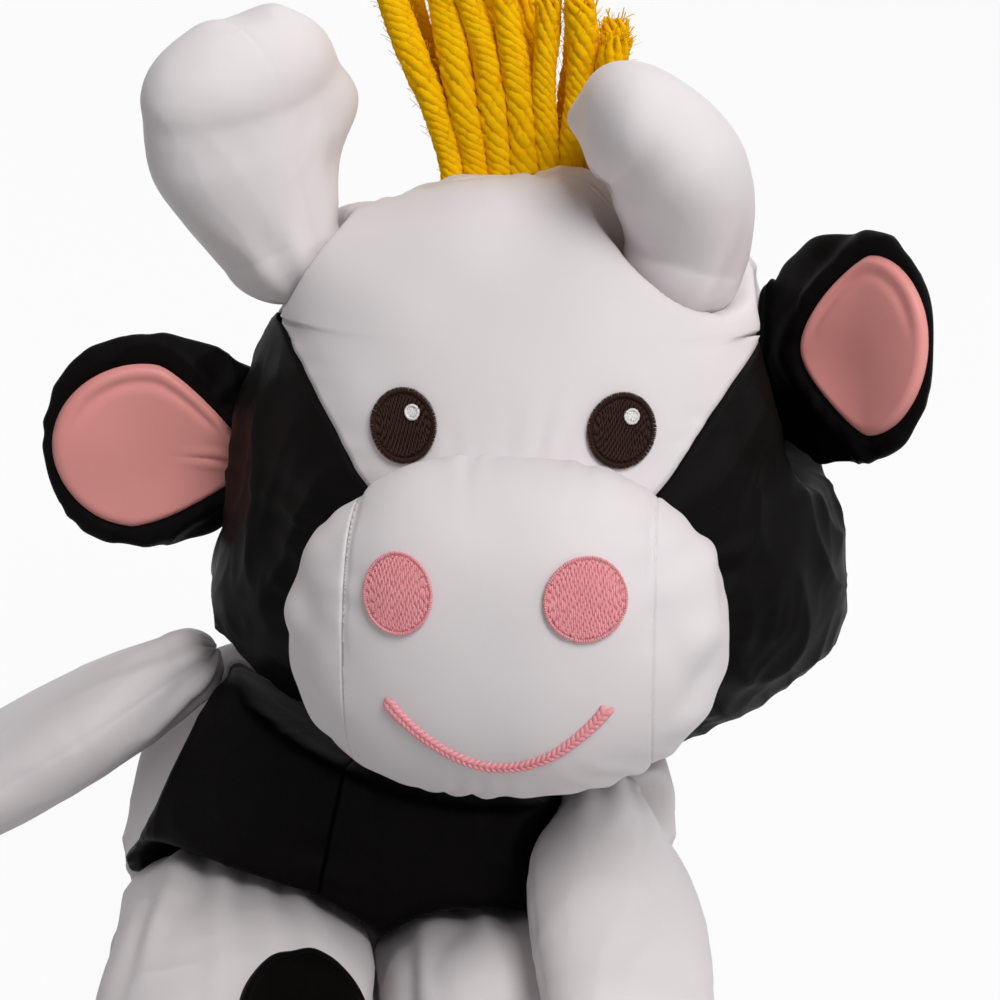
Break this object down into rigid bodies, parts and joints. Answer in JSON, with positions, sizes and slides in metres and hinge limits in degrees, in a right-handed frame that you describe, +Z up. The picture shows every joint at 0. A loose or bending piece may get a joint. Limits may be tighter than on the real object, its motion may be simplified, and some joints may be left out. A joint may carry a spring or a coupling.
{
  "type": "plush cow",
  "caption": "Sitting stuffed toy cow of soft woven nylon with a domed muzzle, embroidered face, stuffed horns, padded ears, yarn hair and floppy limbs.",
  "frame": {"origin": "middle of the flat under the seat, where the toy rests", "axes": "+Z up, the face looks along -Y, +X is the toy's own left side"},
  "size_m": [0.2504, 0.2863, 0.308],
  "materials": {
    "white_cloth": "satin",
    "black_cloth": "satin",
    "pink_satin": "satin",
    "pink_thread": "satin",
    "brown_thread": "satin",
    "white_thread": "satin",
    "yellow_yarn": "matte",
    "fibre": "matte"
  },
  "bodies": {
    "torso": {"body_stuffing": "fibre", "chest_panel_left": "black_cloth", "chest_panel_right": "black_cloth", "back_panel_left": "white_cloth", "back_panel_right": "white_cloth", "seat_panel": "white_cloth"},
    "neck": {"neck_stuffing": "fibre"},
    "head": {"head_stuffing": "fibre", "face_panel": "white_cloth", "cheek_panel_left": "black_cloth", "cheek_panel_right": "black_cloth", "head_back_left": "white_cloth", "head_back_right": "white_cloth", "eye_left": "brown_thread", "eye_glint_left": "white_thread", "eye_right": "brown_thread", "eye_glint_right": "white_thread", "muzzle_stuffing": "fibre", "muzzle_centre_panel": "white_cloth", "muzzle_side_left": "white_cloth", "muzzle_side_right": "white_cloth", "nostril_left": "pink_thread", "nostril_right": "pink_thread", "mouth_stitch": "pink_thread", "yarn_strand_01": "yellow_yarn", "yarn_strand_02": "yellow_yarn", "yarn_strand_03": "yellow_yarn", "yarn_strand_04": "yellow_yarn", "yarn_strand_05": "yellow_yarn", "yarn_strand_06": "yellow_yarn", "yarn_strand_07": "yellow_yarn", "yarn_strand_08": "yellow_yarn", "yarn_strand_09": "yellow_yarn", "yarn_strand_10": "yellow_yarn", "yarn_strand_11": "yellow_yarn", "yarn_strand_12": "yellow_yarn", "yarn_strand_13": "yellow_yarn"},
    "horn_left": {"horn_left_cover": "white_cloth", "horn_left_stuffing": "fibre"},
    "horn_right": {"horn_right_cover": "white_cloth", "horn_right_stuffing": "fibre"},
    "ear_left": {"ear_back_left": "black_cloth", "ear_lining_left": "pink_satin"},
    "ear_right": {"ear_back_right": "black_cloth", "ear_lining_right": "pink_satin"},
    "arm_left": {"arm_left_cover": "white_cloth", "arm_left_stuffing": "fibre"},
    "arm_right": {"arm_right_cover": "white_cloth", "arm_right_stuffing": "fibre"},
    "leg_left": {"leg_left_cover": "white_cloth", "leg_left_stuffing": "fibre"},
    "leg_right": {"leg_right_cover": "white_cloth", "leg_right_stuffing": "fibre", "leg_spot": "black_cloth"},
    "tail": {"tail_cover": "white_cloth", "tail_tuft": "yellow_yarn"}
  },
  "joints": [
    {"name": "head_turn", "type": "hinge", "parent": "torso", "child": "neck", "pos_m": [0.016, 0.003, 0.106], "axis": [0, 0, 1], "range_deg": [-30, 30], "stiffness_Nm_per_rad": 0.25},
    {"name": "head_nod", "type": "hinge", "parent": "neck", "child": "head", "pos_m": [0.016, 0.003, 0.106], "axis": [1, 0, 0], "range_deg": [-15, 15], "stiffness_Nm_per_rad": 0.6},
    {"name": "horn_left_flop", "type": "hinge", "parent": "head", "child": "horn_left", "pos_m": [0.04921, -0.00125, 0.23734], "axis": [-0.0541, 0.992, -0.1138], "range_deg": [-12, 12], "stiffness_Nm_per_rad": 0.02},
    {"name": "horn_right_flop", "type": "hinge", "parent": "head", "child": "horn_right", "pos_m": [-0.05672, 0.00944, 0.21513], "axis": [-0.5977, -0.7279, -0.3362], "range_deg": [-12, 12], "stiffness_Nm_per_rad": 0.02},
    {"name": "ear_left_flap", "type": "hinge", "parent": "head", "child": "ear_left", "pos_m": [0.08023, 0.01341, 0.21204], "axis": [-0.2634, 0.3668, 0.8922], "range_deg": [-25, 25], "stiffness_Nm_per_rad": 0.01},
    {"name": "ear_right_flap", "type": "hinge", "parent": "head", "child": "ear_right", "pos_m": [-0.0552, 0.01135, 0.15759], "axis": [-0.0955, 0.0073, 0.9954], "range_deg": [-25, 25], "stiffness_Nm_per_rad": 0.01},
    {"name": "arm_left_spread", "type": "hinge", "parent": "torso", "child": "arm_left", "pos_m": [0.06083, -0.01696, 0.08437], "axis": [0.2916, -0.2323, 0.9279], "range_deg": [0, 45], "stiffness_Nm_per_rad": 0.06},
    {"name": "arm_right_raise", "type": "hinge", "parent": "torso", "child": "arm_right", "pos_m": [-0.0632, -0.00636, 0.09322], "axis": [0.0723, -0.9775, 0.1983], "range_deg": [-55, 25], "stiffness_Nm_per_rad": 0.06},
    {"name": "leg_left_splay", "type": "hinge", "parent": "torso", "child": "leg_left", "pos_m": [0.04306, -0.03074, 0.0235], "axis": [0, 0, 1], "range_deg": [0, 30], "stiffness_Nm_per_rad": 0.05},
    {"name": "leg_right_splay", "type": "hinge", "parent": "torso", "child": "leg_right", "pos_m": [-0.03002, -0.03074, 0.0235], "axis": [0, 0, 1], "range_deg": [-30, 0], "stiffness_Nm_per_rad": 0.05},
    {"name": "tail_wag", "type": "hinge", "parent": "torso", "child": "tail", "pos_m": [0.00031, 0.04203, 0.016], "axis": [0, 0, 1], "range_deg": [-35, 35], "stiffness_Nm_per_rad": 0.004}
  ]
}
